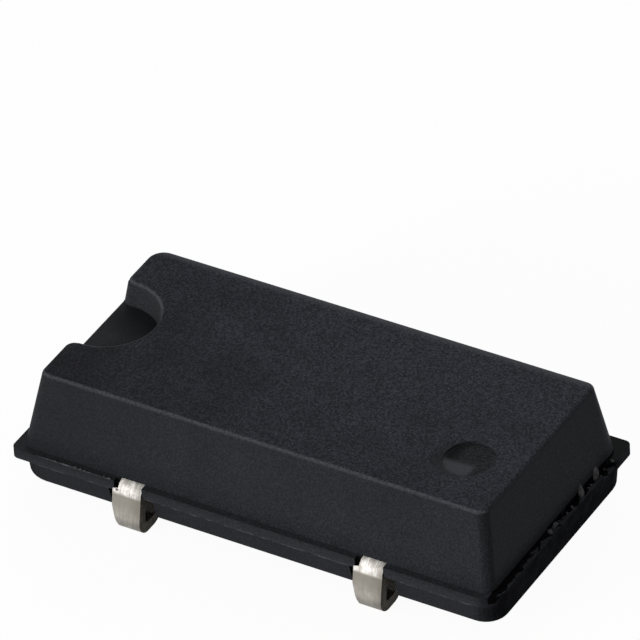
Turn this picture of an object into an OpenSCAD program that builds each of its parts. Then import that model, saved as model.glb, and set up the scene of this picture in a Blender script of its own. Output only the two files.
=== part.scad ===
// Surface-mount clock oscillator in a moulded package with four J-bent leads.
// X runs along the package, the end notch is at -X, and Z = 0 is the board under the feet.

/* [Moulded body] */
// Length over the ledge at the parting line, along X
body_l = 10.2; // [9.6:0.05:11.5]
// Width over the ledge at the parting line, along Y
body_w = 5.24; // [5.0:0.02:5.8]
// Height of the upper half above the ledge
upper_h = 1.55; // [1.4:0.05:2.2]
// Height of the drafted lower half under the parting band
lower_h = 0.48; // [0.36:0.02:0.7]
// Gap between the underside and the board
standoff = 0.37; // [0.3:0.01:0.6]
// Width of the ledge round the foot of the upper half
ledge_w = 0.15; // [0.08:0.01:0.25]
// Draft of the upper half's two ends, in degrees
end_draft = 9.7; // [9.7:0.1:10.3]
// Draft of the upper half's two long sides, in degrees
side_draft = 11.7; // [5:0.1:16]
// Draft of the lower half's long sides, in degrees
lower_draft = 11.5; // [5:0.1:16]
// Draft of the lower half's two ends, in degrees
lower_end_draft = 5; // [2:0.5:14]
// Radius of three of the upper half's upright corners
upper_corner_r = 0.21; // [0.12:0.01:0.5]
// Radius of the upright corner at -X and +Y, which is rounder
round_corner_r = 0.33; // [0.2:0.01:0.6]
// Radius of the upright corner at +X and +Y, at its foot
flared_corner_r = 0.4; // [0.2:0.01:0.6]
// Radius of the lower half's plain corners
lower_corner_r = 0.45; // [0.3:0.01:0.8]
// Radius of the lower half's corners right under the two square ears
ear_corner_r = 0.72; // [0.6:0.01:0.9]
// Radius of the same two corners at the underside
ear_foot_r = 0.58; // [0.4:0.01:0.72]
// Step from the parting band in to the lower half
band_step = 0.01; // [0.006:0.002:0.04]
// Radius at the tip of each square ear
ear_tip_r = 0.14; // [0.04:0.01:0.2]
// Rounding of the top and bottom edges
edge_r = 0.09; // [0.04:0.01:0.12]

/* [End notch and marks] */
// Radius of the half-round notch at the top face
notch_r = 0.99; // [0.6:0.01:1.2]
// Depth of the notch below the top face
notch_depth = 0.52; // [0.2:0.01:0.6]
// Draft of the notch's wall, in degrees
notch_draft = 7; // [2:0.5:12]
// How far the notch's centre lies inside the top face's end
notch_inset = 0.22; // [0.2:0.01:0.4]
// Rounding of the notch's two upright mouth corners
mouth_r = 0.2; // [0.1:0.01:0.2]
// Rounding of the lip where the notch's floor meets the end face
lip_r = 0.05; // [0.02:0.01:0.08]
// Diameter of the ejector mark in the top
ejector_d = 1.0; // [0.6:0.05:1.4]
// Depth of the ejector mark at its middle
ejector_depth = 0.05; // [0.03:0.01:0.12]
// Tilt of the ejector mark's floor, deeper towards -X, in degrees
ejector_tilt = 3; // [0:0.5:5]
// Width of the slope that the ejector left beside its mark, towards -Y
ejector_slope_w = 0.14; // [0.06:0.01:0.2]
// Ejector mark's centre to the end of the top face
ejector_from_end = 1.05; // [0.8:0.01:1.6]
// Ejector mark's centre to the long edge of the top face
ejector_from_side = 1.33; // [0.9:0.01:1.5]
// Diameter of the round recess in the underside
base_mark_d = 3.1; // [2:0.1:3.4]
// Depth of the round recess in the underside
base_mark_depth = 0.06; // [0.02:0.01:0.1]
// Depth of the torn strip where the gate was broken off
gate_depth = 0.1; // [0.04:0.01:0.14]

/* [Leads] */
// Thickness of the plated lead strip and of the parting band
strip_t = 0.21; // [0.15:0.01:0.26]
// Distance between the two leads of one side
lead_pitch = 5.08; // [4.9:0.01:5.4]
// Width of a lead
lead_w = 0.49; // [0.4:0.01:0.56]
// Gap between the band and the leg's outer face at the top bend
leg_gap = 0.04; // [0.02:0.01:0.12]
// Outward lean of the leg, in degrees
leg_lean = 11; // [4:0.5:14]
// Inner radius of the top bend
bend_ri = 0.02; // [0.01:0.005:0.08]
// Inner radius of the heel bend
heel_ri = 0.09; // [0.05:0.01:0.15]
// Length of the flat foot
foot_l = 0.2; // [0.1:0.01:0.3]
// Inner radius of the toe bend
toe_ri = 0.09; // [0.05:0.01:0.15]
// Upward turn of the toe, in degrees
toe_turn = 45; // [30:1:55]
// Straight length of the toe
toe_l = 0.17; // [0.08:0.01:0.22]
// Width of the dam bar stub left on a lead
stub_w = 0.11; // [0.05:0.01:0.14]
// Length of the stub at full width, down the leg
stub_l = 0.37; // [0.2:0.01:0.5]
// Length over which the stub tapers away
stub_taper_l = 0.38; // [0.2:0.01:0.45]

/* [Lead pockets] */
// Width of a pocket at its inner end
pocket_in_w = 0.8; // [0.74:0.01:0.9]
// Width of a pocket at the body's side
pocket_out_w = 0.94; // [0.9:0.01:1.2]
// Length of a pocket, from the underside's edge inwards
pocket_l = 0.86; // [0.8:0.01:1.0]
// Resin left between a pocket and the buried strip
pocket_roof = 0.08; // [0.04:0.01:0.12]
// Extra width punched out of the ledge beside a lead, on the dam bar's side
punch_w = 0.1; // [0.04:0.01:0.16]

/* [Inner lead frame] */
// Width of the bond fingers
finger_w = 0.34; // [0.24:0.01:0.42]
// Distance of the bond fingers' inner edge from the middle line
finger_y = 1.12; // [1.06:0.01:1.2]
// Width of the locking wings on the buried leads
wing_w = 0.92; // [0.7:0.01:1.1]
// Length of the locking wings
wing_l = 0.4; // [0.3:0.01:0.5]
// Diameter of the locking hole in the wings
lock_hole_d = 0.2; // [0.1:0.01:0.26]
// Length of the die pad
pad_l = 1.6; // [1.45:0.01:1.8]
// Width of the die pad
pad_w = 1.56; // [1.4:0.01:1.7]
// Length of a crystal tab
tab_l = 0.8; // [0.7:0.01:0.9]
// Width of a crystal tab
tab_w = 0.48; // [0.4:0.01:0.52]

/* [Chip and wires] */
// Side of the square chip
die_w = 1.2; // [0.9:0.05:1.3]
// Thickness of the chip
die_t = 0.2; // [0.15:0.01:0.3]
// Thickness of the die attach
attach_t = 0.02; // [0.01:0.005:0.04]
// Diameter of the bond wire
wire_d = 0.03; // [0.025:0.001:0.04]
// Loop height of a bond wire as a share of its span
wire_loop = 0.3; // [0.2:0.01:0.4]
// Diameter of the ball on the chip and of the flat stitch on the frame
ball_d = 0.09; // [0.07:0.005:0.11]
// Height of the ball
ball_h = 0.03; // [0.02:0.005:0.04]
// Height of the stitch
stitch_h = 0.02; // [0.015:0.005:0.03]
// Distance from a ball's middle to the chip's edge
bond_inset = 0.12; // [0.08:0.01:0.16]

/* [Crystal unit] */
// Diameter of the crystal can
can_d = 1.5; // [1.3:0.01:1.6]
// Wall of the crystal can
can_wall = 0.1; // [0.06:0.01:0.14]
// Rounding of the can's closed end
can_end_r = 0.25; // [0.2:0.01:0.4]
// Distance from the package's end to the can's closed end
can_from_end = 1.85; // [1.75:0.01:2.0]
// Distance between the die pad and the crystal tabs
pad_gap = 0.26; // [0.2:0.01:0.32]
// Height of the can's axis above the ledge
can_rise = 0.36; // [0.32:0.01:0.42]
// Length of the pressed-in base
base_l = 0.5; // [0.4:0.01:0.6]
// Width of the base's metal ring
base_ring_w = 0.16; // [0.12:0.01:0.18]
// Distance between the two crystal pins
pin_gap = 0.62; // [0.58:0.01:0.66]
// Diameter of a crystal pin
pin_d = 0.16; // [0.12:0.01:0.18]
// Length of a pin's flattened landing
landing_l = 0.4; // [0.3:0.01:0.5]
// Free space between the quartz blank and the can's closed end
blank_gap = 0.65; // [0.3:0.05:1.0]
// Free space between the quartz blank and the base
base_gap = 0.1; // [0.06:0.01:0.2]
// Width of the quartz blank
blank_w = 1.0; // [0.9:0.01:1.05]
// Thickness of the quartz blank
blank_t = 0.1; // [0.06:0.01:0.16]

/* [Hidden] */

$fn = 64;
hull_fn = 32;

// Heights of the parting band, the ledge and the top
base_z = standoff;
band_z = base_z + lower_h;
ledge_z = band_z + strip_t;
top_z = ledge_z + upper_h;

// Sizes of the body's outline at each height
upper_base_l = body_l - 2 * ledge_w;
upper_base_w = body_w - 2 * ledge_w;
top_l = upper_base_l - 2 * upper_h * tan(end_draft);
top_w = upper_base_w - 2 * upper_h * tan(side_draft);
low_top_l = body_l - 2 * band_step;
low_top_w = body_w - 2 * band_step;
base_l_out = low_top_l - 2 * lower_h * tan(lower_end_draft);
base_w_out = low_top_w - 2 * lower_h * tan(lower_draft);
lap = 0.05;
bulge = 0.0001;

// Outer radii and centres of the lead's bends, in the plane of Y and Z
bend_ro = bend_ri + strip_t;
heel_ro = heel_ri + strip_t;
bend_c = [body_w / 2 + leg_gap - bend_ro * cos(leg_lean), ledge_z - bend_ro];
leg_l = (ledge_z - bend_ro * (1 - sin(leg_lean)) - heel_ro * (1 + sin(leg_lean))) / cos(leg_lean);
heel_c = [bend_c[0] + (bend_ro - heel_ro) * cos(leg_lean) + leg_l * sin(leg_lean), heel_ro];
toe_c = [heel_c[0] - foot_l, toe_ri + strip_t];
lead_x = lead_pitch / 2;

// Places of the inner pieces, from the die pad back to the can
pad_x = lead_x - lead_w / 2 + 0.08;
die_x = pad_x + pad_l / 2;
die_top = ledge_z + attach_t + die_t;
tab_x = pad_x - pad_gap - tab_l;
landing_t = 0.75 * pin_d;
landing_w = 1.375 * pin_d;
landing_x = tab_x + (tab_l - landing_l) / 4;
pin_fall = can_rise - landing_t / 2;
pin_run = 0.75 * pin_d;
pin_x = landing_x - pin_fall - pin_run;
pin_y = pin_gap / 2;
can_x = -body_l / 2 + can_from_end;
can_l = pin_x - can_x;
can_z = ledge_z + can_rise;
can_r = can_d / 2;
can_ri = can_r - can_wall;
base_x = pin_x - base_l;
cement_w = 1.5 * pin_d;
pin_in_l = base_gap + cement_w;
blank_l = base_x - base_gap - can_x - can_wall - blank_gap;
blank_z = can_z + pin_d / 2 + 0.2 * pin_d;
finger_end = tab_x + tab_l - 0.15 * tab_l;
land_w = 1.7 * lead_w;

// Wire ends: chip side, then frame side, as pairs of X and Y
bond_in = die_w / 2 - bond_inset;
finger_mid = finger_y + finger_w / 2;
stitch_x = finger_end - finger_w / 2;
tab_stitch_x = tab_x + tab_l - 1.2 * ball_d;
wire_ends = [
  [[die_x - 0.9 * bond_in, -0.8 * bond_in], [stitch_x, -finger_mid]],
  [[die_x - 0.1 * bond_in, -bond_in], [lead_x, -pad_w / 2 - lead_w / 2 - ball_d]],
  [[die_x - 0.1 * bond_in, bond_in], [lead_x + lead_w / 4, finger_mid]],
  [[die_x - 0.9 * bond_in, 0.8 * bond_in], [stitch_x, finger_mid]],
  [[die_x - bond_in, -0.3 * bond_in], [tab_stitch_x, -pin_y]],
  [[die_x - bond_in, 0.3 * bond_in], [tab_stitch_x, pin_y]]
];

// Corner signs, and whether a corner has a square ear
corners = [[-1, -1], [1, -1], [1, 1], [-1, 1]];
function has_ear(c) = c[0] * c[1] > 0;

// A thin disc with one rounded rim, the rounded rim on top
module puck(r, edge) {
  rotate_extrude($fn = hull_fn) {
    square([r - edge, edge]);
    intersection() {
      translate([r - edge, 0]) circle(edge, $fn = hull_fn);
      square([r, edge]);
    }
  }
}

// Radius of the upper half's upright corners, at the top and at the foot
function up_r(c) = c[0] < c[1] ? round_corner_r : upper_corner_r;
function up_foot_r(c) = c[0] + c[1] > 1 ? flared_corner_r : up_r(c);

// Upper half: drafted on all sides, rounded corners and a rounded top edge
module upper_half() {
  hull() {
    for (c = corners) {
      r = up_foot_r(c);
      translate([c[0] * (upper_base_l / 2 - r), c[1] * (upper_base_w / 2 - r), ledge_z - lap])
        cylinder(r = r, h = lap, $fn = hull_fn);
      translate([c[0] * (top_l / 2 - up_r(c)), c[1] * (top_w / 2 - up_r(c)), top_z - edge_r])
        puck(up_r(c), edge_r);
    }
  }
}

// Corner radius of the lower half at the band and at the underside
function low_r(c) = has_ear(c) ? ear_corner_r : lower_corner_r;
function foot_r(c) = has_ear(c) ? ear_foot_r : lower_corner_r;

// Lower half: drafted the other way, with a rounded bottom edge
module lower_half() {
  hull() {
    for (c = corners) {
      translate([c[0] * (low_top_l / 2 - low_r(c)), c[1] * (low_top_w / 2 - low_r(c)), band_z])
        cylinder(r = low_r(c), h = lap, $fn = hull_fn);
      translate([c[0] * (base_l_out / 2 - foot_r(c)), c[1] * (base_w_out / 2 - foot_r(c)), base_z + edge_r])
        mirror([0, 0, 1]) puck(foot_r(c), edge_r);
    }
  }
}

// Outline of the parting band: two rounded corners and two square ears
module band_outline() {
  r = lower_corner_r;
  t = ear_tip_r;
  square([body_l - 2 * r, body_w], center = true);
  square([body_l, body_w - 2 * r], center = true);
  for (c = corners) {
    if (has_ear(c)) {
      translate([c[0] * (body_l / 2 - t), c[1] * (body_w / 2 - t)]) circle(t);
      translate([c[0] * (body_l / 2 - r), c[1] * (body_w / 2 - r)]) {
        square([2 * (r - t), 2 * r], center = true);
        square([2 * r, 2 * (r - t)], center = true);
      }
    } else {
      translate([c[0] * (body_l / 2 - r), c[1] * (body_w / 2 - r)]) circle(r);
    }
  }
}

// Section that rounds off an edge at the given place and height, the body being on its + side
module edge_cut(place, top, r, draft) {
  c = [place - r * tan(draft) + r / cos(draft), top - r];
  difference() {
    polygon([c + r * [-cos(draft), sin(draft)], [place - r / 3, top + r], [c[0], top + r], c]);
    translate(c) circle(r + bulge);
  }
}

// Half-round notch in the top's -X end: drafted wall, rounded rim, mouth corners and lip
module end_notch() {
  cx = -top_l / 2 + notch_inset;
  floor_z = top_z - notch_depth;
  floor_r = notch_r - notch_depth * tan(notch_draft);
  above = edge_r + 0.1;
  above_r = notch_r + above * tan(notch_draft);
  lip_x = -top_l / 2 - notch_depth * tan(end_draft);
  mouth_x = -top_l / 2 + mouth_r;
  translate([cx, 0, floor_z]) cylinder(r1 = floor_r, r2 = above_r, h = notch_depth + above);
  translate([cx, 0, 0]) rotate(-90) rotate_extrude(angle = 180)
    edge_cut(notch_r, top_z, edge_r, notch_draft);
  translate([lip_x - 1, 0, 0]) rotate([90, 0, 90]) linear_extrude(cx - lip_x + 1)
    polygon([[-floor_r, floor_z], [floor_r, floor_z], [above_r, top_z + above], [-above_r, top_z + above]]);
  translate([0, floor_r + mouth_r / 2, 0]) rotate([90, 0, 0]) linear_extrude(2 * floor_r + mouth_r)
    edge_cut(lip_x, floor_z, lip_r, end_draft);
  for (s = [-1, 1]) {
    // Straight part of the rim
    translate([mouth_x - 0.001, 0, 0]) rotate([90, 0, 90]) linear_extrude(cx - mouth_x + 0.002)
      scale([s, 1]) edge_cut(notch_r, top_z, edge_r, notch_draft);
    // Rim round the mouth corner
    translate([mouth_x, s * (notch_r + mouth_r), 0]) rotate(s > 0 ? 180 : 90) rotate_extrude(angle = 90)
      difference() {
        translate([mouth_r - edge_r, top_z - edge_r]) square([2 * edge_r, 2 * edge_r]);
        translate([mouth_r - edge_r, top_z - edge_r]) circle(edge_r + bulge);
      }
    // Upright mouth corner, leaning with the end face and the notch's wall
    intersection() {
      translate([lip_x, s * floor_r, floor_z]) rotate([-s * notch_draft, end_draft, 0])
        translate([0, 0, -0.5]) linear_extrude(notch_depth + 1) scale([1, s]) difference() {
          translate([-mouth_r / 2, -mouth_r / 2]) square(1.5 * mouth_r);
          translate([mouth_r, mouth_r]) circle(mouth_r + bulge);
        }
      translate([-body_l, -body_w, floor_z]) cube([2 * body_l, 2 * body_w, notch_depth + 1]);
    }
  }
}

// Shallow round marks: ejector mark in the top, recess in the underside
module round_marks() {
  w = ejector_slope_w;
  translate([top_l / 2 - ejector_from_end, -top_w / 2 + ejector_from_side, top_z])
    rotate([0, -ejector_tilt, 0]) translate([0, 0, -ejector_depth]) {
      cylinder(d = ejector_d, h = 1);
      translate([-0.3 * w, -0.6 * w, 0])
        cylinder(r1 = ejector_d / 2 - 0.67 * w, r2 = ejector_d / 2 + 1.33 * w, h = 2 * ejector_depth);
    }
  translate([0, 0, base_z - 1]) cylinder(d = base_mark_d, h = 1 + base_mark_depth);
}

// Pocket that a lead's toe turns up into, open to the underside and the side
module toe_pocket() {
  in_y = base_w_out / 2 - pocket_l;
  out_y = body_w / 2 + 0.2;
  slope = (pocket_out_w - pocket_in_w) / 2 / pocket_l;
  out_half = pocket_in_w / 2 + slope * (out_y - in_y);
  translate([0, 0, base_z - 0.5]) linear_extrude(0.5 + lower_h - pocket_roof)
    polygon([[-pocket_in_w / 2, in_y], [pocket_in_w / 2, in_y], [out_half, out_y], [-out_half, out_y]]);
  // Deeper slot for the leg, up to the band
  slot_y = bend_c[0] - 0.04;
  slot_half = pocket_in_w / 2 + slope * (slot_y - in_y);
  translate([0, 0, base_z]) linear_extrude(lower_h)
    polygon([[-slot_half, slot_y], [slot_half, slot_y], [out_half, out_y], [-out_half, out_y]]);
}

// Opening in the band in front of a lead's top bend, wider where the dam bar was punched off
module band_slot() {
  y0 = upper_base_w / 2;
  y1 = body_w / 2 + 0.1;
  half = lead_w / 2;
  translate([0, 0, band_z]) linear_extrude(strip_t)
    polygon([
      [-half, y0], [half, y0], [half, y1], [-half - punch_w, y1], [-half - punch_w, y0 + ledge_w / 3]
    ]);
}

// Torn strip along the foot of the +X end, where the gate was broken off
module gate_break() {
  x = upper_base_l / 2;
  w = ledge_w;
  translate([0, 0, ledge_z - gate_depth]) linear_extrude(gate_depth + 0.07)
    polygon([
      [x - 0.04, -0.3], [x + 0.2 * w, -0.42], [x + 0.5 * w, -0.2], [x + 0.3 * w, 0.1],
      [x + 0.7 * w, 0.35], [x + 0.4 * w, 0.6], [x + 0.8 * w, 0.85], [x + 0.5 * w, 1.15],
      [x + 0.8 * w, 1.45], [x + 2 * w, 1.62], [x + 2 * w, 1.95], [x + 0.3 * w, 2.02],
      [x - 0.05, 1.75], [x - 0.01, 1.35], [x - 0.07, 1.0], [x - 0.02, 0.65], [x - 0.06, 0.3], [x - 0.02, 0]
    ]);
}

// Everything that is buried in the resin, as filled shapes
module buried() {
  for (i = [1 : 4]) lead(i);
  for (i = [1 : 2]) {
    crystal_tab(i);
    crystal_pin(i);
  }
  die_attach();
  chip();
  for (i = [0 : 5]) bond_wire(i);
  can_shape(can_r, can_l, can_end_r, 0);
}

module body() {
  color([0.17, 0.175, 0.19]) difference() {
    union() {
      upper_half();
      translate([0, 0, band_z]) linear_extrude(strip_t) band_outline();
      lower_half();
    }
    end_notch();
    round_marks();
    gate_break();
    for (c = corners) {
      translate([c[0] * lead_x, 0, 0]) scale([1, c[1], 1]) {
        toe_pocket();
        band_slot();
      }
    }
    buried();
  }
}

// Area enclosed by one face of the bent strip, that face being off from the inner one.
// Past both ends the area runs on by ends, so that an inner area cuts the outer one cleanly.
module hook_area(off, ends) {
  n = [cos(leg_lean), sin(leg_lean)];
  d = [-sin(toe_turn), -cos(toe_turn)];
  along = [-cos(toe_turn), sin(toe_turn)];
  root_y = body_w / 2 - ledge_w - 0.3;
  deep = off > 0 ? off + 0.03 : 0.1;
  tip = toe_c + (toe_ri + off) * d + (toe_l + ends) * along;
  translate(bend_c) circle(bend_ri + off + bulge);
  translate(heel_c) circle(heel_ri + off + bulge);
  translate(toe_c) circle(toe_ri + off + bulge);
  polygon([
    [root_y - ends, ledge_z - strip_t + off - deep],
    [root_y - ends, ledge_z - strip_t + off],
    bend_c + [0, bend_ri + off],
    bend_c,
    bend_c + (bend_ri + off) * n,
    heel_c + (heel_ri + off) * n,
    heel_c,
    heel_c - [0, heel_ri + off],
    toe_c - [0, toe_ri + off],
    toe_c,
    toe_c + (toe_ri + off) * d,
    tip,
    tip - deep * d
  ]);
}

// Side view of the bent strip, outwards along the first axis and up along the second
module strip_profile() {
  difference() {
    hook_area(strip_t, 0);
    hook_area(0, 0.2);
  }
}

module bent_strip(x0, x1) {
  translate([x0, 0, 0]) rotate([90, 0, 90]) linear_extrude(x1 - x0) strip_profile();
}

// Stub where the dam bar was cut off, on the -X edge of the leg
module dam_stub() {
  edge = -lead_w / 2;
  top = ledge_z - 0.12;
  far_y = heel_c[0] + heel_ro + 0.1;
  intersection() {
    bent_strip(edge - stub_w, edge + 0.02);
    difference() {
      translate([0, far_y, 0]) rotate([90, 0, 0]) linear_extrude(far_y - bend_c[0])
        polygon([
          [edge + 0.02, top], [edge, top], [edge - stub_w, top - 0.03], [edge - stub_w, top - stub_l],
          [edge, top - stub_l - stub_taper_l], [edge + 0.02, top - stub_l - stub_taper_l]
        ]);
      translate([edge - 1, 0, band_z - 0.02]) cube([2, body_w / 2 + 0.02, 1]);
    }
  }
}

// The part of a lead that stands outside, on the +Y side
module outer_lead() {
  bent_strip(-lead_w / 2, lead_w / 2);
  dam_stub();
}

// Locking wings with a hole, on a buried lead at its own X
module wings() {
  y0 = upper_base_w / 2 - 0.4 - wing_l;
  translate([-wing_w / 2, y0]) square([wing_w, wing_l]);
}

module lock_hole() {
  y0 = upper_base_w / 2 - 0.4 - wing_l / 2;
  translate([0, y0]) circle(d = lock_hole_d, $fn = 24);
}

// Flat outline of the buried strip of each lead, seen from above, on the +Y side
module finger_outline(long_finger, pad) {
  root_y = upper_base_w / 2 - 0.2;
  inner_y = pad ? pad_w / 2 - 0.1 : finger_y;
  difference() {
    union() {
      translate([-lead_w / 2, inner_y]) square([lead_w, root_y - inner_y]);
      wings();
      if (long_finger)
        translate([-lead_w / 2, finger_y]) square([finger_end + lead_x + lead_w / 2, finger_w]);
      if (!long_finger && !pad)
        translate([-land_w / 2, finger_y]) square([land_w, finger_w]);
    }
    lock_hole();
  }
}

// Leads are numbered round the package from the notch: 1 and 2 at -Y, 3 and 4 at +Y
module lead(i) {
  left = i == 1 || i == 4;
  near = i <= 2;
  color([0.78, 0.78, 0.76]) union() {
    translate([left ? -lead_x : lead_x, 0, 0]) scale([1, near ? -1 : 1, 1]) {
      outer_lead();
      translate([0, 0, band_z]) linear_extrude(strip_t) finger_outline(left, i == 2);
    }
    if (i == 2)
      translate([pad_x, -pad_w / 2, band_z]) cube([pad_l, pad_w, strip_t]);
  }
}

module crystal_tab(i) {
  y = (i == 1 ? -1 : 1) * pin_y;
  color([0.78, 0.78, 0.76]) translate([tab_x, y - tab_w / 2, band_z]) cube([tab_l, tab_w, strip_t]);
}

module die_attach() {
  color([0.75, 0.75, 0.78]) translate([die_x - die_w / 2, -die_w / 2, ledge_z])
    cube([die_w, die_w, attach_t]);
}

module chip() {
  color([0.35, 0.37, 0.42]) translate([die_x - die_w / 2, -die_w / 2, ledge_z + attach_t])
    cube([die_w, die_w, die_t]);
}

// One bond wire: ball on the chip, round loop, flat stitch on the frame
module bond_wire(i) {
  a = wire_ends[i][0];
  b = wire_ends[i][1];
  span = norm(b - a);
  drop = die_top - ledge_z;
  chord = sqrt(span * span + drop * drop);
  rise = wire_loop * chord;
  loop_r = (chord * chord / 4 + rise * rise) / (2 * rise);
  half = asin(chord / 2 / loop_r);
  heading = atan2(b[1] - a[1], b[0] - a[0]);
  color([0.85, 0.65, 0.25]) difference() {
    union() {
      translate([a[0], a[1], die_top]) cylinder(d = ball_d, h = ball_h, $fn = 24);
      translate([b[0], b[1], ledge_z]) cylinder(d = ball_d, h = stitch_h, $fn = 24);
      translate([a[0], a[1], die_top]) rotate([0, atan2(drop, span), heading])
        translate([chord / 2, 0, rise - loop_r]) rotate([90, 0, 0]) rotate([0, 0, 90 - half])
          rotate_extrude(angle = 2 * half, $fn = 48) translate([loop_r, 0]) circle(d = wire_d, $fn = 16);
    }
    translate([a[0] - 0.1, a[1] - 0.1, die_top - 0.1]) cube([0.2, 0.2, 0.1]);
    translate([b[0] - 0.1, b[1] - 0.1, ledge_z - 0.1]) cube([0.2, 0.2, 0.1]);
  }
}

// A cylinder along +X from the can's closed end, with that end rounded
module can_shape(r, l, end_r, inset) {
  translate([can_x + inset, 0, can_z]) rotate([0, 90, 0]) rotate_extrude() {
    translate([0, end_r]) square([r, l - end_r]);
    square([r - end_r, l]);
    intersection() {
      translate([r - end_r, end_r]) circle(end_r);
      square([r, l]);
    }
  }
}

module crystal_can() {
  color([0.8, 0.8, 0.82]) difference() {
    can_shape(can_r, can_l, can_end_r, 0);
    can_shape(can_ri, can_l, can_end_r - can_wall, can_wall);
  }
}

module crystal_base_ring() {
  color([0.7, 0.68, 0.62]) translate([base_x, 0, can_z]) rotate([0, 90, 0]) difference() {
    cylinder(r = can_ri, h = base_l);
    translate([0, 0, -1]) cylinder(r = can_ri - base_ring_w, h = base_l + 2);
  }
}

module crystal_glass_seal() {
  color([0.25, 0.35, 0.4]) difference() {
    translate([base_x, 0, can_z]) rotate([0, 90, 0]) cylinder(r = can_ri - base_ring_w, h = base_l);
    for (i = [1 : 2]) crystal_pin(i);
  }
}

// Pin through the glass, joggled down to its flattened landing on the tab
module crystal_pin(i) {
  y = (i == 1 ? -1 : 1) * pin_y;
  color([0.8, 0.78, 0.72]) translate([0, y, can_z]) {
    translate([base_x - pin_in_l, 0, 0]) rotate([0, 90, 0])
      cylinder(d = pin_d, h = pin_in_l + base_l + pin_run, $fn = 24);
    translate([pin_x + pin_run, 0, 0]) sphere(d = pin_d, $fn = 24);
    translate([pin_x + pin_run, 0, 0]) rotate([0, 135, 0])
      cylinder(d = pin_d, h = pin_fall * sqrt(2), $fn = 24);
    translate([landing_x - landing_t / 3, -landing_w / 2, -pin_fall - landing_t / 2])
      cube([landing_l, landing_w, landing_t]);
  }
}

// Thin quartz strip, cemented to the inner ends of the pins
module quartz_blank() {
  color([0.85, 0.88, 0.9]) translate([base_x - base_gap - blank_l, -blank_w / 2, blank_z])
    cube([blank_l, blank_w, blank_t]);
}

module blank_cement(i) {
  y = (i == 1 ? -1 : 1) * pin_y;
  color([0.7, 0.7, 0.68]) difference() {
    translate([base_x - base_gap - cement_w, y - cement_w / 2, can_z])
      cube([cement_w, cement_w, blank_z - can_z]);
    crystal_pin(i);
  }
}

body();
lead(1);  // lead_1
lead(2);  // lead_2
lead(3);  // lead_3
lead(4);  // lead_4
crystal_tab(1);  // crystal_tab_1
crystal_tab(2);  // crystal_tab_2
die_attach();
chip();
bond_wire(0);  // bond_wire_1
bond_wire(1);  // bond_wire_2
bond_wire(2);  // bond_wire_3
bond_wire(3);  // bond_wire_4
bond_wire(4);  // bond_wire_5
bond_wire(5);  // bond_wire_6
crystal_can();
crystal_base_ring();
crystal_glass_seal();
crystal_pin(1);  // crystal_pin_1
crystal_pin(2);  // crystal_pin_2
quartz_blank();
blank_cement(1);  // blank_cement_1
blank_cement(2);  // blank_cement_2
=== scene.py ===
import math
import random

import bmesh
import bpy
from mathutils import Euler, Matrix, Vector, noise


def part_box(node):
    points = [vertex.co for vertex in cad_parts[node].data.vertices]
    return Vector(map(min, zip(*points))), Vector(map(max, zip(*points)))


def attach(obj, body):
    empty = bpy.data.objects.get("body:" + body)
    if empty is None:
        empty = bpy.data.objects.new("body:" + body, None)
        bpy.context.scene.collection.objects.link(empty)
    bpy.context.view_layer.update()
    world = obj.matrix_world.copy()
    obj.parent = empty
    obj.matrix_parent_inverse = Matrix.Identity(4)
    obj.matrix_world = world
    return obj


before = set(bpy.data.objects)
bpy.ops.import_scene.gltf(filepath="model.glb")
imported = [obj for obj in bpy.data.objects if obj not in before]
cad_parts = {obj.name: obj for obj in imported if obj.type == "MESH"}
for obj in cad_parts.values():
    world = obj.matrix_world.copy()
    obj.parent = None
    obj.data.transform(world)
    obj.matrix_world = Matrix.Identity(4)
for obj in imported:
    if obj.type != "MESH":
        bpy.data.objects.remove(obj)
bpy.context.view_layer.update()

# The package is about 10 mm long, so sizes are written in millimetres and turned to metres here
MM = 0.001


def in_mm(corner):
    """A corner of a box of the frame, in millimetres."""
    return [round(c / MM, 3) for c in corner]


# Half sizes and heights of the moulding: its ledge is level with the top of the lead frame
HALF_L, HALF_W, TOP_Z = in_mm(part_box("body")[1])
LEDGE_Z = in_mm(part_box("lead_1")[1])[2]
# The band under the ledge is as high as the lead frame's strip is thick
STRIP = 0.21
BAND_Z = LEDGE_Z - STRIP
# Half the lead pitch, and the middle of the ejector mark in the top
LEAD_X = 2.54
MARK_X = 3.635
MARK_Y = -0.82

# The photograph's view: a long lens from the front right and above
VIEW_PLACE = (65.568, -106.047, 98.729)
VIEW_TURN = (52.7125, 2.5627, 29.7262)
VIEW_LENS = 484.28
SENSOR = 36


# Camera

def make_camera():
    data = bpy.data.cameras.new("camera")
    cam = bpy.data.objects.new("camera", data)
    bpy.context.scene.collection.objects.link(cam)
    cam.location = Vector(VIEW_PLACE) * MM
    cam.rotation_euler = [math.radians(a) for a in VIEW_TURN]
    data.sensor_width = SENSOR
    data.lens = VIEW_LENS
    data.clip_start = 0.01
    data.clip_end = 10
    bpy.context.scene.camera = cam


make_camera()


# Colours and nodes

def linear(hex_colour):
    """An sRGB hex colour as linear red, green, blue and alpha."""
    parts = [int(hex_colour[i:i + 2], 16) / 255 for i in (1, 3, 5)]
    return [c / 12.92 if c <= 0.04045 else ((c + 0.055) / 1.055) ** 2.4 for c in parts] + [1.0]


def add_node(tree, kind, inputs=None, **settings):
    """Adds one node. An input given as a socket is linked, any other value is set."""
    new = tree.nodes.new(kind)
    for key, value in settings.items():
        setattr(new, key, value)
    for key, value in (inputs or {}).items():
        if isinstance(value, bpy.types.NodeSocket):
            tree.links.new(value, new.inputs[key])
        else:
            new.inputs[key].default_value = value
    return new


def per_mm(size):
    """Texture scale at which one cell of a pattern is size millimetres wide."""
    return 1 / (size * MM)


def new_material(name):
    mat = bpy.data.materials.new(name)
    mat.use_nodes = True
    mat.node_tree.nodes.clear()
    return mat, mat.node_tree


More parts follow.
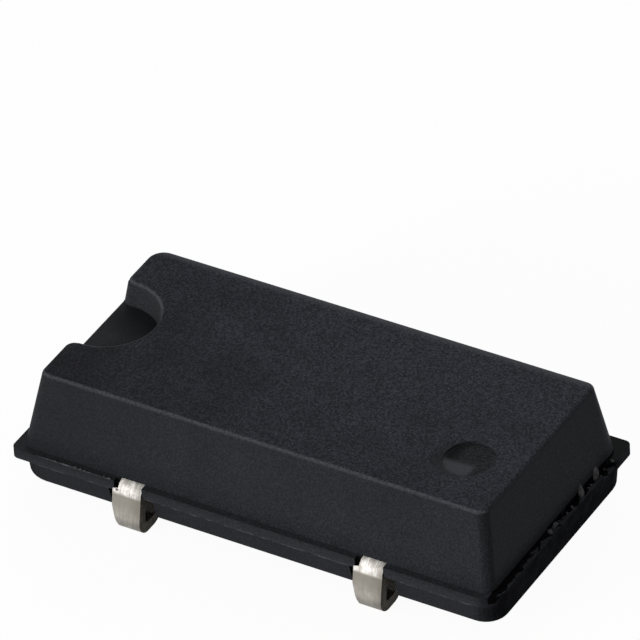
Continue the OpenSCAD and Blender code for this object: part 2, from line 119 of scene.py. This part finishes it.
def surface_at(tree):
    """Sockets by name: the shaded point's place, which way it faces and how far along X and Y that is."""
    coords = add_node(tree, "ShaderNodeTexCoord").outputs
    at = {"place": coords["Object"]}
    for label, source in (("", coords["Object"]), ("facing ", coords["Normal"])):
        parts = add_node(tree, "ShaderNodeSeparateXYZ", {0: source}).outputs
        for axis in "XYZ":
            at[label + axis] = parts[axis]
    for axis in "XY":
        size = add_node(tree, "ShaderNodeMath", {0: at["facing " + axis]}, operation="ABSOLUTE")
        at["along " + axis] = size.outputs[0]
    return at


def distance_from(tree, at, x, y):
    """Level distance of the shaded point from an upright line at x, y in millimetres."""
    moved = add_node(tree, "ShaderNodeMapping", {
        "Vector": at["place"], "Location": [-x * MM, -y * MM, 0], "Scale": (1.0, 1.0, 0.0)})
    length = add_node(tree, "ShaderNodeVectorMath", {0: moved.outputs[0]}, operation="LENGTH")
    return length.outputs["Value"]


def together(tree, mask, *others):
    """The share that several masks leave together."""
    for other in others:
        mask = add_node(tree, "ShaderNodeMath", {0: mask, 1: other}, operation="MULTIPLY").outputs[0]
    return mask


def inside(tree, at, *limits):
    """A mask of 1 where all limits hold, each an axis, a test and a length in millimetres."""
    return together(tree, *[
        add_node(tree, "ShaderNodeMath", {0: at[axis], 1: limit * MM}, operation=test).outputs[0]
        for axis, test, limit in limits])


def layered(tree, colour, *layers):
    """A colour with others laid over it in turn, each by the share that its mask gives."""
    for mask, over in layers:
        colour = add_node(tree, "ShaderNodeMix", {
            "Factor": mask, "A": colour, "B": over}, data_type="RGBA").outputs["Result"]
    return colour


# Moulded epoxy

# Painted shade, painted highlights and tones that grow along an axis of the moulding:
# name, axis, where it starts and where it is full in millimetres, full share, how it grows
EPOXY_SHADES = (
    ("under band", "Z", BAND_Z, BAND_Z - 0.02, 0.45, "LINEAR"),
    ("foot", "Z", LEDGE_Z + 0.22, LEDGE_Z - 0.02, 0.75, "LINEAR"),
    ("down band", "Z", LEDGE_Z - 0.04, BAND_Z, 0.5, "LINEAR"),
    ("crease", "Z", LEDGE_Z + 0.4, LEDGE_Z, 0.6, "LINEAR"),
    ("rounding", "Z", TOP_Z - 0.055, TOP_Z - 0.02, 1.0, "LINEAR"),
    ("far edge", "Y", HALF_W - 0.70, HALF_W - 0.50, 0.8, "LINEAR"),
    ("notch painted shade", "X", 0.5, 0.5 - HALF_L, 0.45, "LINEAR"),
    ("far painted light", "Y", -1.5, 2.1, -0.35, "LINEAR"),
    ("mark wall", "X", MARK_X - 0.13, MARK_X - 0.36, 1.0, "LINEAR"),
    ("mark slope Y", "Y", MARK_Y - 0.04, MARK_Y - 0.22, 1.0, "SMOOTHSTEP"),
    ("mark slope X", "X", MARK_X + 0.28, MARK_X + 0.10, 1.0, "SMOOTHSTEP"),
)


def epoxy_side(tree, at):
    """Colour of the sides: calm grain, with painted shade below the band, at the ends' feet, on the near
    right corner and in the crease, and a painted highlight down the band.
    """
    band = inside(tree, at, ("Z", "GREATER_THAN", BAND_Z - 0.005))
    above_ledge = inside(tree, at, ("Z", "GREATER_THAN", LEDGE_Z + 0.003))
    # Painted shade on the near right upright corner, where the rounding turns from the side to the end
    corner = add_node(tree, "ShaderNodeMapRange", {
        "Value": together(tree, at["facing X"], at["facing Y"]),
        "From Min": -0.08, "From Max": -0.40, "To Max": 0.6})
    return layered(
        tree, linear("#28292B"),
        (at["lift"], linear("#2B2C2E")),
        # Painted shade: the lower half below the band is darker
        (at["under band"], linear("#1F2023")),
        (at["along X"], linear("#2E2F30")),
        # Painted shade at the foot of the two ends: dull black from just above the ledge downwards
        (at["end foot"], linear("#0E0F10")),
        # Painted highlight down the long sides' band, strongest at its lower edge
        (together(tree, at["down band"], band, at["along Y"]), linear("#3E3F44")),
        (corner.outputs[0], linear("#0E0F11")),
        # Painted shade in the crease above the ledge
        (together(tree, at["crease"], above_ledge), linear("#17181B")))


def epoxy_top(tree, at):
    """Colour of the top: dark grain with pale specks under an uneven release haze, and painted shade towards
    the notch and the near side.
    """
    specks = add_node(tree, "ShaderNodeTexVoronoi", {"Vector": at["place"], "Scale": per_mm(0.07)})
    speck = add_node(tree, "ShaderNodeMapRange", {
        "Value": specks.outputs["Distance"], "From Min": 0.30, "From Max": 0.08, "To Max": 0.45})
    clouds = add_node(tree, "ShaderNodeTexNoise", {
        "Vector": at["place"], "Scale": per_mm(0.9), "Detail": 3.0})
    # Painted shade: the top is darker towards the notch and the near side, over the haze's own uneven patches
    thin = clouds.outputs["Fac"]
    for shade in ("notch painted shade", "far painted light"):
        thin = add_node(tree, "ShaderNodeMath", {0: thin, 1: at[shade]}, operation="ADD").outputs[0]
    thin = add_node(tree, "ShaderNodeMapRange", {
        "Value": thin, "From Min": 0.3, "From Max": 1.0, "To Max": 0.6})
    return layered(
        tree, linear("#1F2023"),
        (at["lift"], linear("#383940")),
        (speck.outputs[0], linear("#54555C")),
        (thin.outputs[0], linear("#121215")))


def epoxy_ends(tree, at, base):
    """Lays painted shade over the colour: in the crevice of the gate end's torn ledge, on the ledge at the
    far right corner, and mottled on the end bands.
    """
    ragged = add_node(tree, "ShaderNodeTexNoise", {
        "Vector": at["place"], "Scale": per_mm(0.16), "Detail": 2.0})
    ragged = add_node(tree, "ShaderNodeMapRange", {
        "Value": ragged.outputs["Fac"], "From Min": 0.35, "From Max": 0.65,
        "To Min": -0.07 * MM, "To Max": 0.07 * MM})
    at["ragged X"] = add_node(tree, "ShaderNodeMath", {
        0: at["X"], 1: ragged.outputs[0]}, operation="ADD").outputs[0]
    mottle = add_node(tree, "ShaderNodeTexNoise", {
        "Vector": at["place"], "Scale": per_mm(0.25), "Detail": 2.0})
    mottle = add_node(tree, "ShaderNodeMapRange", {
        "Value": mottle.outputs["Fac"], "From Min": 0.40, "From Max": 0.60, "To Min": 0.15, "To Max": 0.60})
    # Painted shade in the crevice where the gate was torn off, as far as its ragged edge
    torn = inside(
        tree, at, ("X", "GREATER_THAN", HALF_L - 0.20), ("ragged X", "LESS_THAN", HALF_L - 0.08),
        ("Z", "LESS_THAN", LEDGE_Z + 0.05), ("Z", "GREATER_THAN", LEDGE_Z - 0.14))
    # Painted shade on the upward faces of the ledge at the far right corner
    far_ledge = inside(
        tree, at, ("X", "GREATER_THAN", HALF_L - 0.5), ("Z", "LESS_THAN", LEDGE_Z + 0.01),
        ("Y", "GREATER_THAN", HALF_W - 0.67))
    # Painted shade, mottled, on the end faces below the ledge
    under_ledge = inside(tree, at, ("Z", "LESS_THAN", LEDGE_Z - 0.005))
    return layered(
        tree, base,
        (torn, linear("#060607")),
        (together(tree, far_ledge, at["facing Z"]), linear("#161718")),
        (together(tree, under_ledge, at["along X"], mottle.outputs[0]), linear("#0C0C0D")))


def epoxy_mark(tree, at, base):
    """Lays the ejector mark over the colour: dark floor, painted shade on its -X wall, painted highlight on
    the slope at its -Y side.
    """
    round_spot = add_node(tree, "ShaderNodeMapRange", {
        "Value": at["from mark"], "From Min": 0.53 * MM, "From Max": 0.42 * MM},
        interpolation_type="SMOOTHSTEP")
    below_top = inside(tree, at, ("Z", "LESS_THAN", TOP_Z - 0.008))
    # Painted highlight on the slope at the mark's -Y side
    slope = layered(tree, linear("#35363A"), (at["lift"], linear("#3F4045")))
    mark = layered(
        tree, linear("#151517"),
        (at["lift"], linear("#2B2C2F")),
        # Painted shade on the mark's -X wall
        (at["mark wall"], linear("#0B0C0D")),
        (together(tree, at["mark slope Y"], at["mark slope X"]), slope))
    return layered(tree, base, (together(tree, round_spot.outputs[0], below_top), mark))


def epoxy_notch(tree, at, base):
    """Lays a painted shadow over the inner corner of the notch's floor."""
    notch_shadow = add_node(tree, "ShaderNodeMapRange", {
        "Value": distance_from(tree, at, -4.2, 0.62),
        "From Min": 0.75 * MM, "From Max": 0.30 * MM, "To Max": 0.5}, interpolation_type="SMOOTHSTEP")
    on_floor = inside(tree, at, ("Z", "LESS_THAN", TOP_Z - 0.5), ("Z", "GREATER_THAN", TOP_Z - 0.54))
    return layered(tree, base, (together(tree, notch_shadow.outputs[0], on_floor), linear("#070708")))


def epoxy_edge(tree, at, base):
    """Lays a painted highlight over the colour along the long edges: the rounding under the top, where it
    faces along Y, broken up by the grain.
    """
    edge_highlight = add_node(tree, "ShaderNodeMapRange", {
        "Value": at["along Y"], "From Min": 0.10, "From Max": 0.40, "To Max": 0.8})
    grain_break = add_node(tree, "ShaderNodeMapRange", {
        "Value": at["grain"], "From Min": 0.35, "From Max": 0.6, "To Min": 0.5})
    off_mark = inside(tree, at, ("from mark", "GREATER_THAN", 0.75))
    edge_highlight = together(tree, at["rounding"], edge_highlight.outputs[0], off_mark, grain_break.outputs[0])
    return layered(tree, base, (edge_highlight, linear("#4A4B4F")))


def moulded_epoxy():
    """Black silica-filled epoxy, moulded against a spark-eroded steel cavity.

    To the eye: near-black with a cool tint, a faint satin bloom, a sharp grain of pale specks on
    the top that calms down on the drafted sides, with painted highlights along the long top edges.
    """
    mat, tree = new_material("moulded_epoxy")
    at = surface_at(tree)
    for name, axis, start, full, share, growth in EPOXY_SHADES:
        at[name] = add_node(tree, "ShaderNodeMapRange", {
            "Value": at[axis], "From Min": start * MM, "From Max": full * MM, "To Max": share},
            interpolation_type=growth).outputs[0]
    at["end foot"] = together(tree, at["foot"], at["along X"])
    at["from mark"] = distance_from(tree, at, MARK_X, MARK_Y)
    # The sparked grain is about 0.02 mm across; 0.036 mm is the finest that shows as grain here
    at["grain"] = add_node(tree, "ShaderNodeTexNoise", {
        "Vector": at["place"], "Scale": per_mm(0.036), "Detail": 1.0, "Roughness": 0.6}).outputs["Fac"]
    at["lift"] = add_node(tree, "ShaderNodeMapRange", {
        "Value": at["grain"], "From Min": 0.38, "From Max": 0.66}).outputs[0]
    # Full grain above the rounded top edge, a little less than half of it on the sides
    on_top = add_node(tree, "ShaderNodeMapRange", {
        "Value": at["Z"], "From Min": (TOP_Z - 0.05) * MM, "From Max": (TOP_Z - 0.005) * MM,
        "To Min": 0.4, "To Max": 1.0}).outputs[0]
    base = layered(
        tree, epoxy_side(tree, at),
        (on_top, epoxy_top(tree, at)),
        # Painted highlight along the far edge, a little way in over the top
        (together(tree, at["far edge"], on_top), linear("#4C4D52")))
    for lay_over in (epoxy_ends, epoxy_mark, epoxy_notch, epoxy_edge):
        base = lay_over(tree, at, base)
    rough = add_node(tree, "ShaderNodeMapRange", {"Value": at["grain"], "To Min": 0.40, "To Max": 0.55})
    rough = add_node(tree, "ShaderNodeMath", {
        0: rough.outputs[0], 1: at["end foot"]}, operation="ADD", use_clamp=True)
    bump = add_node(tree, "ShaderNodeBump", {
        "Strength": on_top, "Distance": 0.008 * MM, "Height": at["grain"]})
    shader = add_node(tree, "ShaderNodeBsdfPrincipled", {
        "Base Color": base, "Roughness": rough.outputs[0], "Normal": bump.outputs[0],
        "IOR": 1.5, "Specular IOR Level": 0.012})
    add_node(tree, "ShaderNodeOutputMaterial", {"Surface": shader.outputs[0]})
    return mat


# Leads and broken resin

def tin_plate():
    """Matte tin plated on a rolled nickel-iron strip, with its sheared edges left bare.

    To the eye: pale silver-grey and streaked on the bend, duller and slightly warm down the leg,
    with fine rolling lines along the strip. The sheared edges have gone dark brown.
    """
    mat, tree = new_material("tin_plate")
    at = surface_at(tree)
    # Lines run along the leg, so the pattern is tight across it (X) and long down it
    along = add_node(tree, "ShaderNodeMapping", {"Vector": at["place"], "Scale": (1.0, 0.08, 0.08)})
    lines = add_node(tree, "ShaderNodeTexNoise", {
        "Vector": along.outputs[0], "Scale": per_mm(0.03), "Detail": 3.0, "Roughness": 0.55}).outputs["Fac"]
    patches = add_node(tree, "ShaderNodeTexNoise", {
        "Vector": at["place"], "Scale": per_mm(0.12), "Detail": 4.0, "Roughness": 0.6})
    tone = add_node(tree, "ShaderNodeMapRange", {
        "Value": patches.outputs["Fac"], "From Min": 0.38, "From Max": 0.62}).outputs[0]
    streak = add_node(tree, "ShaderNodeMapRange", {
        "Value": lines, "From Min": 0.58, "From Max": 0.38, "To Max": 0.55}).outputs[0]
    # The leg below the bend is darker and warmer than the bend, a little less so towards its foot
    leg = add_node(tree, "ShaderNodeMapRange", {
        "Value": at["Z"], "From Min": 0.86 * MM, "From Max": 0.80 * MM}).outputs[0]
    leg_tone = add_node(tree, "ShaderNodeMapRange", {
        "Value": at["Z"], "From Min": 0.65 * MM, "From Max": 0.30 * MM, "To Min": 0.95, "To Max": 0.75})
    # Painted shade: the +X side of each punched strip is darker, as a slight crown would leave it
    middle = add_node(tree, "ShaderNodeMath", {0: at["X"]}, operation="SIGN")
    middle = add_node(tree, "ShaderNodeMath", {0: middle.outputs[0], 1: LEAD_X * MM}, operation="MULTIPLY")
    off_middle = add_node(tree, "ShaderNodeMath", {0: at["X"], 1: middle.outputs[0]}, operation="SUBTRACT")
    crown_shade = add_node(tree, "ShaderNodeMapRange", {
        "Value": off_middle.outputs[0], "From Min": 0.0, "From Max": 0.25 * MM, "To Max": 0.55})
    # Sheared edges face along X
    edge = add_node(tree, "ShaderNodeMapRange", {
        "Value": at["along X"], "From Min": 0.75, "From Max": 0.95}).outputs[0]
    colour = layered(
        tree, linear("#B6B3AE"),
        (tone, linear("#E2E0DC")),
        (streak, linear("#8F8A82")),
        (together(tree, leg_tone.outputs[0], leg), linear("#76726A")),
        (crown_shade.outputs[0], linear("#5E5952")),
        (edge, layered(tree, linear("#3B362F"), (tone, linear("#625C52")))))
    rough = add_node(tree, "ShaderNodeMapRange", {"Value": lines, "To Min": 0.66, "To Max": 0.78})
    rough = add_node(tree, "ShaderNodeMapRange", {"Value": leg, "To Min": rough.outputs[0], "To Max": 0.55})
    metal = add_node(tree, "ShaderNodeMath", {0: 1.0, 1: edge}, operation="SUBTRACT")
    bump = add_node(tree, "ShaderNodeBump", {"Strength": 0.6, "Distance": 0.0015 * MM, "Height": lines})
    shader = add_node(tree, "ShaderNodeBsdfPrincipled", {
        "Base Color": colour, "Metallic": metal.outputs[0], "Roughness": rough.outputs[0],
        "Normal": bump.outputs[0], "Specular IOR Level": 0.06})
    add_node(tree, "ShaderNodeOutputMaterial", {"Surface": shader.outputs[0]})
    return mat


def broken_resin():
    """Epoxy broken off rough at the gate: silica filler shows, so it is paler, matte and coarse."""
    mat, tree = new_material("broken_resin")
    at = surface_at(tree)
    # Filler grains are 0.02 to 0.08 mm across
    grain = add_node(tree, "ShaderNodeTexNoise", {
        "Vector": at["place"], "Scale": per_mm(0.05), "Detail": 4.0, "Roughness": 0.7})
    tone = add_node(tree, "ShaderNodeMapRange", {
        "Value": grain.outputs["Fac"], "From Min": 0.4, "From Max": 0.62})
    bump = add_node(tree, "ShaderNodeBump", {
        "Strength": 0.5, "Distance": 0.004 * MM, "Height": grain.outputs["Fac"]})
    shader = add_node(tree, "ShaderNodeBsdfPrincipled", {
        "Base Color": layered(tree, linear("#3E3E3F"), (tone.outputs[0], linear("#606062"))),
        "Roughness": 0.8, "Normal": bump.outputs[0], "IOR": 1.5, "Specular IOR Level": 0.02})
    add_node(tree, "ShaderNodeOutputMaterial", {"Surface": shader.outputs[0]})
    return mat


def resin_flash():
    """Thin flash squeezed out at the mould's parting line: its edge wore down pale."""
    mat, tree = new_material("resin_flash")
    at = surface_at(tree)
    wear = add_node(tree, "ShaderNodeTexNoise", {"Vector": at["place"], "Scale": per_mm(0.16), "Detail": 3.0})
    tone = add_node(tree, "ShaderNodeMapRange", {
        "Value": wear.outputs["Fac"], "From Min": 0.42, "From Max": 0.66})
    shader = add_node(tree, "ShaderNodeBsdfPrincipled", {
        "Base Color": layered(tree, linear("#2C2D2F"), (tone.outputs[0], linear("#56575A"))),
        "Roughness": 0.6, "IOR": 1.5, "Specular IOR Level": 0.02})
    add_node(tree, "ShaderNodeOutputMaterial", {"Surface": shader.outputs[0]})
    return mat


# Pieces inside the moulding

def inner_material(name, dark, light, rough_low, rough_high, grain_mm, **kind):
    """A soft mottle of the given grain between two colours, on a metal or on a non-metal of some IOR."""
    mat, tree = new_material(name)
    at = surface_at(tree)
    grain = add_node(tree, "ShaderNodeTexNoise", {
        "Vector": at["place"], "Scale": per_mm(grain_mm), "Detail": 3.0}).outputs["Fac"]
    rough = add_node(tree, "ShaderNodeMapRange", {
        "Value": grain, "To Min": rough_low, "To Max": rough_high})
    shader = add_node(tree, "ShaderNodeBsdfPrincipled", {
        "Base Color": layered(tree, linear(dark), (grain, linear(light))),
        "Roughness": rough.outputs[0], **kind})
    add_node(tree, "ShaderNodeOutputMaterial", {"Surface": shader.outputs[0]})
    return mat


epoxy = moulded_epoxy()
tin = tin_plate()
broken = broken_resin()
flash = resin_flash()
# Deep-drawn nickel silver: pale warm grey, satin from drawing
nickel_silver = inner_material("drawn_nickel_silver", "#A9A59A", "#C9C5BA", 0.25, 0.4, 0.2, Metallic=1.0)
# Pressed ring under solder plate: duller grey
solder_plate = inner_material("solder_plate", "#85827B", "#A7A49C", 0.35, 0.55, 0.1, Metallic=1.0)
# Gold wire as drawn: yellow and smooth
gold = inner_material("drawn_gold", "#C99A3C", "#E2B95A", 0.15, 0.25, 0.02, Metallic=1.0)
# Sealing glass: near-black blue-grey, fire-polished
sealing_glass = inner_material("sealing_glass", "#141C24", "#22303A", 0.05, 0.12, 0.3, IOR=1.52)
# Lapped quartz under a thin metal film: pale grey, fine matte
quartz = inner_material("lapped_quartz", "#C3C9CC", "#D9DEE0", 0.25, 0.4, 0.05, IOR=1.54)
# Silver-filled cement: light grey and grainy
silver_cement = inner_material("silver_cement", "#8D8D88", "#B4B4AE", 0.5, 0.8, 0.04, IOR=1.5)
# Polished silicon: dark blue-grey, mirror-smooth
silicon = inner_material("polished_silicon", "#2E3340", "#3D4454", 0.06, 0.12, 0.4, IOR=3.4)

NODE_MATERIALS = {
    "body": epoxy,
    "lead_1": tin, "lead_2": tin, "lead_3": tin, "lead_4": tin,
    "crystal_tab_1": tin, "crystal_tab_2": tin,
    "die_attach": silver_cement, "chip": silicon,
    "crystal_can": nickel_silver, "crystal_base_ring": solder_plate, "crystal_glass_seal": sealing_glass,
    "crystal_pin_1": solder_plate, "crystal_pin_2": solder_plate,
    "quartz_blank": quartz, "blank_cement_1": silver_cement, "blank_cement_2": silver_cement,
}
for i in range(1, 7):
    NODE_MATERIALS["bond_wire_%d" % i] = gold

for name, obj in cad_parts.items():
    obj.data.materials.clear()
    obj.data.materials.append(NODE_MATERIALS[name])


# Small resin pieces of the moulding's worn and broken edges

def add_piece(name, bm, mat):
    """Turns a bmesh, built in millimetres, into a piece that belongs to the moulded body or its leads."""
    bmesh.ops.recalc_face_normals(bm, faces=bm.faces)
    bmesh.ops.scale(bm, vec=(MM, MM, MM), verts=bm.verts)
    mesh = bpy.data.meshes.new(name)
    bm.to_mesh(mesh)
    bm.free()
    mesh.materials.append(mat)
    piece = bpy.data.objects.new(name, mesh)
    bpy.context.scene.collection.objects.link(piece)
    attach(piece, "root")


def rough_chip(name, place, size, turn, seed, mat):
    """A torn flake or burr: a lump with flat fracture faces, sunk a little way into what it sits on."""
    bm = bmesh.new()
    radius = 0.5
    bmesh.ops.create_icosphere(bm, subdivisions=3, radius=radius)
    # Large waves and small ones on the lump: how many across it and how strong
    waves = ((1.9, 0.35, Vector((seed, 0, 0))), (5, 0.16, Vector((0, seed, 0))))
    for v in bm.verts:
        way = v.co.normalized()
        rough = sum(noise.noise(way * count + shift) * strength for count, strength, shift in waves)
        v.co = way * radius * (1 + rough)
    # Fracture faces: the lump is cut flat on eight random sides, a good half of its radius out
    cuts = random.Random(seed)
    for _ in range(8):
        side = Vector([cuts.uniform(-1, 1) for _ in range(3)]).normalized()
        for v in bm.verts:
            v.co -= side * max(0.0, v.co.dot(side) - 0.28)
    bmesh.ops.scale(bm, vec=size, verts=bm.verts)
    bmesh.ops.rotate(bm, verts=bm.verts, matrix=Euler([math.radians(a) for a in turn]).to_matrix())
    bmesh.ops.translate(bm, vec=place, verts=bm.verts)
    add_piece(name, bm, mat)


def flash_ridge(name, start, end, width, height, seed):
    """An uneven bead of flash along an edge of the near side, standing out by width and up by height."""
    start, end = Vector(start), Vector(end)
    out, up = Vector((0, -1, 0)), Vector((0, 0, 1))
    # One ring of points each 0.035 mm, with its root sunk 0.012 mm into the resin
    steps = max(8, int((end - start).length / 0.035))
    root = 0.012
    into = math.copysign(1, height)
    bm = bmesh.new()
    rings = []
    for i in range(steps + 1):
        at = start.lerp(end, i / steps)
        swell = noise.noise(Vector((i * 0.21, seed, 0))) + 0.6 * noise.noise(Vector((i * 0.6, seed, 7)))
        swell = max(0.0, min(1.0, 0.5 + 0.9 * swell))
        fade = min(1, i / 3, (steps - i) / 3)
        w, h = (size * (0.25 + 0.75 * swell) * fade for size in (width, height))
        inner = at - out * root
        rings.append([bm.verts.new(q) for q in (
            inner - up * root * into, at + out * w, at + out * w * 0.6 + up * h * 0.7,
            at - out * 0.004 + up * h, inner + up * 0.004 * into)])
    for a, b in zip(rings, rings[1:]):
        for k in range(5):
            n = (k + 1) % 5
            bm.faces.new((a[k], a[n], b[n], b[k]))
    bm.faces.new(rings[0])
    bm.faces.new(list(reversed(rings[-1])))
    add_piece(name, bm, flash)


def near_side_flash():
    """Worn parting line of the near side: crumbs at the left of the ledge, a thin bead along the band."""
    y = -HALF_W
    flash_ridge("ledge_flash_left", (-4.55, y, LEDGE_Z), (-2.95, y, LEDGE_Z), 0.02, 0.022, 3.1)
    for i, (x, size) in enumerate([
            (-4.15, 0.035), (-3.98, 0.026), (-3.72, 0.040), (-3.60, 0.028), (-3.50, 0.044),
            (-3.24, 0.030), (-3.10, 0.034), (-2.98, 0.046)]):
        rough_chip("ledge_crumb_%d" % (i + 1), (x, y + 0.012, LEDGE_Z + 0.006),
                   (size * 1.6, size, size * 0.8), (0, 0, 20 * i), 5 + i, broken)
    for i, (x0, x1, width) in enumerate([
            (-4.75, -2.98, 0.014), (-2.24, 2.08, 0.014), (2.86, 4.66, 0.012)]):
        flash_ridge("band_flash_%d" % (i + 1), (x0, y, BAND_Z), (x1, y, BAND_Z), width, -0.014, 11 + i)


def broken_gate():
    """Rough resin at the torn gate, +X: flakes on the end face, torn rims and crumbs on the ledge."""
    for i, (place, size, turn) in enumerate([
            ((4.975, 0.86, 1.07), (0.14, 0.21, 0.38), (-14, -12, 8)),
            ((4.970, 1.45, 1.09), (0.12, 0.17, 0.36), (-14, -10, -6)),
            ((5.01, 1.98, 1.05), (0.09, 0.12, 0.08), (0, 0, 30))]):
        rough_chip("gate_flake_%d" % (i + 1), place, size, turn, 21 + i, broken)
    for i, (y, size) in enumerate([
            (-0.50, 0.09), (-0.38, 0.13), (-0.24, 0.11), (-0.10, 0.14), (0.03, 0.10)]):
        rough_chip("gate_rim_%d" % (i + 1), (HALF_L - 0.01 - size * 0.75, y, 1.03),
                   (size, size * 1.5, size * 0.9), (0, 0, 25 * i), 30 + i, flash)
    # Crumbs lie about one pitch apart from start to end of the torn stretch
    start, pitch = -0.62, 0.155
    generator = random.Random(5)
    for i in range(16):
        y = start + i * pitch + generator.uniform(-0.04, 0.04)
        size = generator.uniform(0.05, 0.10)
        x = HALF_L - 0.02 - size + generator.uniform(-0.035, 0.0)
        rough_chip("gate_crumb_%d" % (i + 1), (x, y, LEDGE_Z - 0.02 - size * 0.2),
                   (size, size * generator.uniform(1.1, 1.6), size * 0.7),
                   (generator.uniform(-25, 25), generator.uniform(-20, 20), generator.uniform(0, 90)),
                   40 + i, flash)


def tie_bar_burr():
    """Burr that the tie bar's shear left beside the near left lead."""
    rough_chip("tie_bar_burr", (-LEAD_X - 0.27, -2.690, 0.915), (0.07, 0.06, 0.07), (10, 15, 20), 61,
               tin)


near_side_flash()
broken_gate()
tie_bar_burr()


# Floor, background and light

def seen_by_eye(tree):
    """1 for the rays that see the background straight, in a gloss or through glass, and 0 for the light."""
    rays = add_node(tree, "ShaderNodeLightPath").outputs
    seen = add_node(tree, "ShaderNodeMath", {
        0: rays["Is Camera Ray"], 1: rays["Is Glossy Ray"]}, operation="ADD")
    seen = add_node(tree, "ShaderNodeMath", {
        0: seen.outputs[0], 1: rays["Is Transmission Ray"]}, operation="ADD", use_clamp=True)
    return seen.outputs[0]


def make_floor():
    """A pale sweep: seen nearly white with a faint shadow, and throwing a grey card's light upwards."""
    mesh = bpy.data.meshes.new("floor")
    bm = bmesh.new()
    bmesh.ops.create_grid(bm, x_segments=1, y_segments=1, size=1.5)
    bm.to_mesh(mesh)
    bm.free()
    floor = bpy.data.objects.new("floor", mesh)
    bpy.context.scene.collection.objects.link(floor)
    mat, tree = new_material("matt_pale_card")
    card = add_node(tree, "ShaderNodeBsdfDiffuse", {"Color": linear("#8C8C8C")})
    paper = add_node(tree, "ShaderNodeBsdfDiffuse", {"Color": linear("#F8F8F8")})
    white = add_node(tree, "ShaderNodeEmission", {"Color": (1, 1, 1, 1), "Strength": 1.0})
    pale = add_node(tree, "ShaderNodeMixShader", {0: 0.95, 1: paper.outputs[0], 2: white.outputs[0]})
    sweep = add_node(tree, "ShaderNodeMixShader", {
        0: seen_by_eye(tree), 1: card.outputs[0], 2: pale.outputs[0]})
    add_node(tree, "ShaderNodeOutputMaterial", {"Surface": sweep.outputs[0]})
    mesh.materials.append(mat)


def make_world(strength):
    world = bpy.data.worlds.new("studio")
    bpy.context.scene.world = world
    world.use_nodes = True
    tree = world.node_tree
    tree.nodes.clear()
    level = add_node(tree, "ShaderNodeMapRange", {
        "Value": seen_by_eye(tree), "To Min": strength, "To Max": 1.0})
    back = add_node(tree, "ShaderNodeBackground", {"Color": (1, 1, 1, 1), "Strength": level.outputs[0]})
    add_node(tree, "ShaderNodeOutputWorld", {"Surface": back.outputs[0]})


def make_lamp(name, place_mm, size_mm, share):
    """A square soft box aimed at the package. A share of 1 lights a face square to it fully."""
    data = bpy.data.lights.new(name, "AREA")
    lamp = bpy.data.objects.new(name, data)
    bpy.context.scene.collection.objects.link(lamp)
    lamp.location = Vector(place_mm) * MM
    aim = Vector((0, 0, 1.2 * MM)) - lamp.location
    lamp.rotation_euler = aim.to_track_quat("-Z", "Y").to_euler()
    data.size = size_mm * MM
    data.energy = share * math.pi ** 2 * aim.length ** 2


make_floor()
make_world(0.48)
make_lamp("key", (-75, -165, 52), 50, 0.82)
make_lamp("back", (-49, 142, 116), 90, 0.22)

bpy.context.scene.view_settings.view_transform = "Standard"
